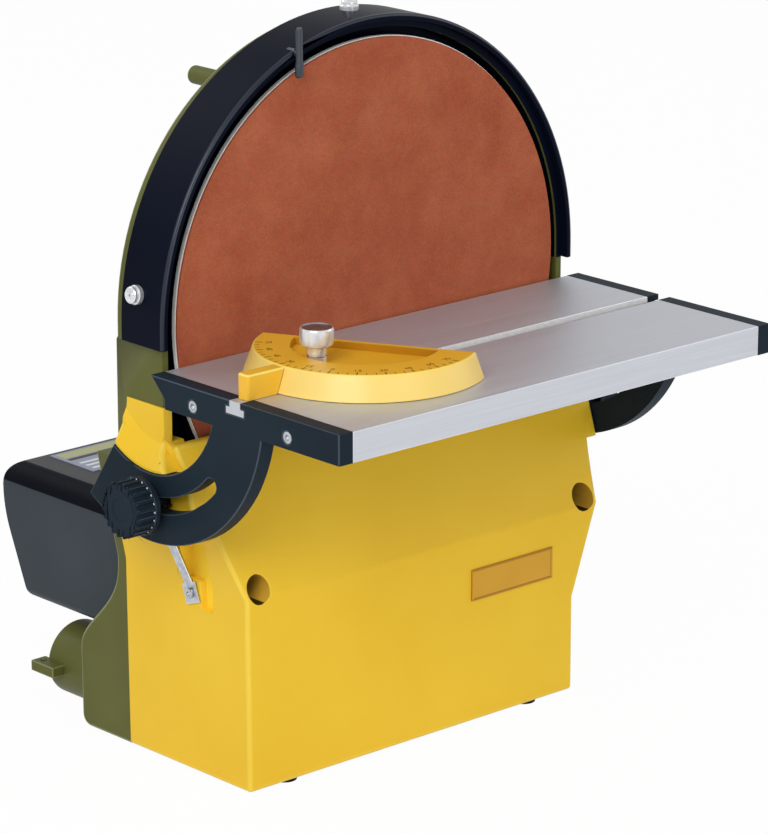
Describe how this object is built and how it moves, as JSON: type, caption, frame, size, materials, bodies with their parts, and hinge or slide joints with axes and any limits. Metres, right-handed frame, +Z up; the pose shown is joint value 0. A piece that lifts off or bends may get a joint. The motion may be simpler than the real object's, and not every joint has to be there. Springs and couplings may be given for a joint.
{
  "type": "benchtop disc sander",
  "caption": "Benchtop disc sander: an upright belt-driven disc under a half-round guard, a tilting aluminium table with quadrants and knobs, a mitre gauge, a motor cover and a dust port.",
  "frame": {"origin": "on the bench, at the middle of the box that the sander takes up", "axes": "+X to the operator's right along the table, +Y to the back along the spindle, +Z up"},
  "size_m": [0.3238, 0.299, 0.372],
  "materials": {
    "yellow_plastic": "moulded, slight sheen",
    "olive_plastic": "moulded, satin",
    "black_plastic": "moulded, satin",
    "slate_plastic": "moulded, satin",
    "table_aluminium": "extruded, ground top",
    "disc_aluminium": "turned",
    "abrasive_cloth": "bonded grit",
    "steel": "plated",
    "chrome": "polished",
    "brass": "turned",
    "rubber": "moulded",
    "circuit_board": "solder mask",
    "plate_yellow": "printed foil",
    "plate_grey": "printed foil"
  },
  "bodies": {
    "base": {"front_bearing": "steel", "rear_bearing": "steel", "bearing_plate": "disc_aluminium", "plate_screws": "steel", "rear_housing": "olive_plastic", "front_housing": "yellow_plastic", "base_plate": "steel", "feet": "rubber", "foot_screws": "steel", "disc_guard": "black_plastic", "guard_screws": "chrome", "lifter_pin": "steel", "cord_pegs": "olive_plastic", "motor_cover": "slate_plastic", "cover_screws": "steel", "motor": "steel", "motor_screws": "steel", "toothed_belt": "rubber", "clamp_inserts": "brass", "tilt_pointer": "steel", "pointer_screw": "steel", "dust_port": "olive_plastic", "housing_screws": "steel", "switch_bezel": "black_plastic", "speed_control": "steel", "control_board": "circuit_board", "board_posts": "black_plastic", "cord_gland": "black_plastic", "badge_plate": "plate_yellow", "rating_plate": "plate_grey"},
    "disc": {"abrasive_sheet": "abrasive_cloth", "sanding_disc": "disc_aluminium", "disc_screws": "steel", "spindle": "steel", "driven_pulley": "disc_aluminium"},
    "motor_rotor": {"motor_shaft": "steel", "motor_pulley": "disc_aluminium", "cooling_fan": "black_plastic"},
    "table": {"table_plate": "table_aluminium", "left_end_cap": "black_plastic", "right_end_cap": "black_plastic", "end_cap_screws": "steel"},
    "left_knob": {"left_clamp_knob": "black_plastic"},
    "right_knob": {"right_clamp_knob": "black_plastic"},
    "gauge": {"mitre_bar": "table_aluminium", "mitre_arm": "yellow_plastic", "mitre_pivot": "steel"},
    "gauge_head": {"mitre_head": "yellow_plastic"},
    "gauge_lock": {"mitre_knob": "chrome"},
    "lifter": {"sheet_lifter": "black_plastic"},
    "rocker": {"switch_rocker": "black_plastic"},
    "dial": {"speed_dial": "black_plastic"}
  },
  "joints": [
    {"name": "disc_spin", "type": "hinge", "parent": "base", "child": "disc", "pos_m": [0, 0.0075, 0.23], "axis": [0, 1, 0], "continuous": true},
    {"name": "motor_spin", "type": "hinge", "parent": "base", "child": "motor_rotor", "pos_m": [0, 0.0475, 0.092], "axis": [0, 1, 0], "continuous": true},
    {"name": "table_tilt", "type": "hinge", "parent": "base", "child": "table", "pos_m": [0, -0.0125, 0.2122], "axis": [1, 0, 0], "range_deg": [-10, 45]},
    {"name": "left_knob_turn", "type": "hinge", "parent": "base", "child": "left_knob", "pos_m": [-0.15, -0.0125, 0.1477], "axis": [-1, 0, 0], "range_deg": [0, 180]},
    {"name": "right_knob_turn", "type": "hinge", "parent": "base", "child": "right_knob", "pos_m": [0.15, -0.0125, 0.1477], "axis": [1, 0, 0], "range_deg": [0, 180]},
    {"name": "gauge_slide", "type": "slide", "parent": "table", "child": "gauge", "axis": [1, 0, 0], "range_m": [-0.03, 0.17]},
    {"name": "gauge_turn", "type": "hinge", "parent": "gauge", "child": "gauge_head", "pos_m": [-0.0615, -0.0765, 0.22], "axis": [0, 0, 1], "range_deg": [-73.6, 16.4]},
    {"name": "gauge_lock_turn", "type": "hinge", "parent": "gauge", "child": "gauge_lock", "pos_m": [-0.0925, -0.0765, 0.23], "axis": [0, 0, 1], "range_deg": [0, 180]},
    {"name": "lifter_turn", "type": "hinge", "parent": "base", "child": "lifter", "pos_m": [-0.051, -0.0175, 0.35527], "axis": [0, 1, 0], "range_deg": [-40, 40]},
    {"name": "rocker_press", "type": "hinge", "parent": "base", "child": "rocker", "pos_m": [0.10025, 0.0095, 0.0295], "axis": [0, 1, 0], "range_deg": [0, 20]},
    {"name": "dial_turn", "type": "hinge", "parent": "base", "child": "dial", "pos_m": [0.105, -0.0265, 0.0295], "axis": [1, 0, 0], "range_deg": [0, 270]}
  ],
  "couplings": [
    {"joint": "motor_spin", "follows": "disc_spin", "ratio": 6.6667}
  ]
}
